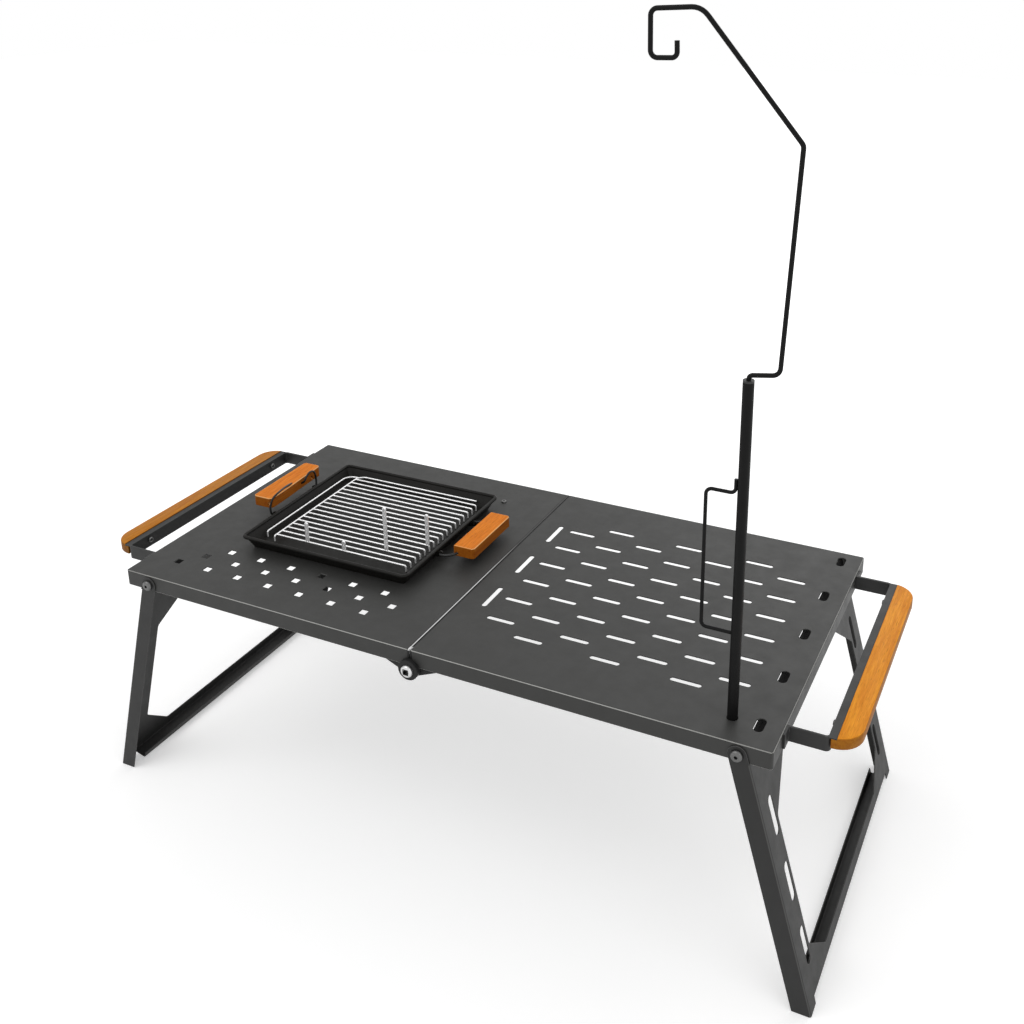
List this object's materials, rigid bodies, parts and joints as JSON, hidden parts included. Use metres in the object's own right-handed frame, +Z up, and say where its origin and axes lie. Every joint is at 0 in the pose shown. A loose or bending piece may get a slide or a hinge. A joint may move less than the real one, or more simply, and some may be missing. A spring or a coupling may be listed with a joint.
{
  "type": "folding camping table",
  "caption": "Low folding camp table in two sheet-steel halves with folding legs, wooden carry grips, a lift-out lantern pole, and a roasting pan with wire rack.",
  "frame": {"origin": "on the floor, under the middle of the split between the two halves", "axes": "+Z up; +X along the table towards the end with the lantern pole; +Y from the front edge to the rear edge"},
  "size_m": [1.059, 0.4716, 1.0894],
  "materials": {
    "top_coat": "satin dark grey powder coat",
    "leg_coat": "satin dark grey powder coat",
    "bracket_coat": "satin dark grey powder coat",
    "hinge_coat": "matt black paint",
    "bolt_steel": "plain zinc-plated steel",
    "grip_wood": "oiled orange-brown wood",
    "block_wood": "oiled orange-brown wood",
    "pole_coat": "matt black paint",
    "bush_plastic": "matt black plastic",
    "pan_enamel": "glossy black enamel",
    "bail_wire": "satin black wire",
    "rack_chrome": "bright chromed wire"
  },
  "bodies": {
    "left_half": {"top_left": "top_coat", "top_screw": "bolt_steel", "hinge_ear_left_front": "hinge_coat", "hinge_ear_left_rear": "hinge_coat", "hinge_boss_front": "hinge_coat", "hinge_boss_rear": "hinge_coat", "hinge_bolts": "bolt_steel", "hinge_nuts": "bolt_steel", "leg_bolts_left": "bolt_steel", "leg_nuts_left": "bolt_steel", "handle_bracket_left": "bracket_coat", "grip_left": "grip_wood", "grip_screws_left": "bolt_steel"},
    "right_half": {"top_right": "top_coat", "hinge_ear_right_front": "hinge_coat", "hinge_ear_right_rear": "hinge_coat", "leg_bolts_right": "bolt_steel", "leg_nuts_right": "bolt_steel", "handle_bracket_right": "bracket_coat", "grip_right": "grip_wood", "grip_screws_right": "bolt_steel", "pole_socket": "hinge_coat"},
    "left_leg": {"leg_left": "leg_coat"},
    "right_leg": {"leg_right": "leg_coat"},
    "pole": {"pole_tube": "pole_coat", "pole_bush": "bush_plastic", "pole_loop": "pole_coat"},
    "hanger": {"hanger_rod": "pole_coat"},
    "roasting_pan": {"pan": "pan_enamel", "pan_eyes": "pan_enamel"},
    "rack": {"rack_frame": "rack_chrome", "rack_wires": "rack_chrome", "rack_pegs": "rack_chrome"},
    "left_bail": {"bail_left": "bail_wire", "block_left": "block_wood"},
    "right_bail": {"bail_right": "bail_wire", "block_right": "block_wood"}
  },
  "joints": [
    {"name": "centre_fold", "type": "hinge", "parent": "left_half", "child": "right_half", "pos_m": [0, 0, 0.31], "axis": [0, 1, 0], "range_deg": [0, 75]},
    {"name": "left_leg_fold", "type": "hinge", "parent": "left_half", "child": "left_leg", "pos_m": [-0.41122, 0, 0.3215], "axis": [0, -1, 0], "range_deg": [0, 105]},
    {"name": "right_leg_fold", "type": "hinge", "parent": "right_half", "child": "right_leg", "pos_m": [0.41122, 0, 0.3215], "axis": [0, 1, 0], "range_deg": [0, 105]},
    {"name": "pole_lift", "type": "slide", "parent": "right_half", "child": "pole", "axis": [0, 0, 1], "range_m": [0, 0.12]},
    {"name": "hanger_swivel", "type": "hinge", "parent": "pole", "child": "hanger", "pos_m": [0.392, -0.185, 0.73], "axis": [0, 0, 1], "continuous": true},
    {"name": "pan_lift", "type": "slide", "parent": "left_half", "child": "roasting_pan", "axis": [0, 0, 1], "range_m": [0, 0.15]},
    {"name": "rack_lift", "type": "slide", "parent": "roasting_pan", "child": "rack", "axis": [0, 0, 1], "range_m": [0, 0.1]},
    {"name": "left_bail_swing", "type": "hinge", "parent": "roasting_pan", "child": "left_bail", "pos_m": [-0.3525, 0.01378, 0.3488], "axis": [-0.0087, 1, 0], "range_deg": [-15, 20]},
    {"name": "right_bail_swing", "type": "hinge", "parent": "roasting_pan", "child": "right_bail", "pos_m": [-0.07351, 0.01622, 0.3488], "axis": [0.0087, -1, 0], "range_deg": [0, 60]}
  ]
}
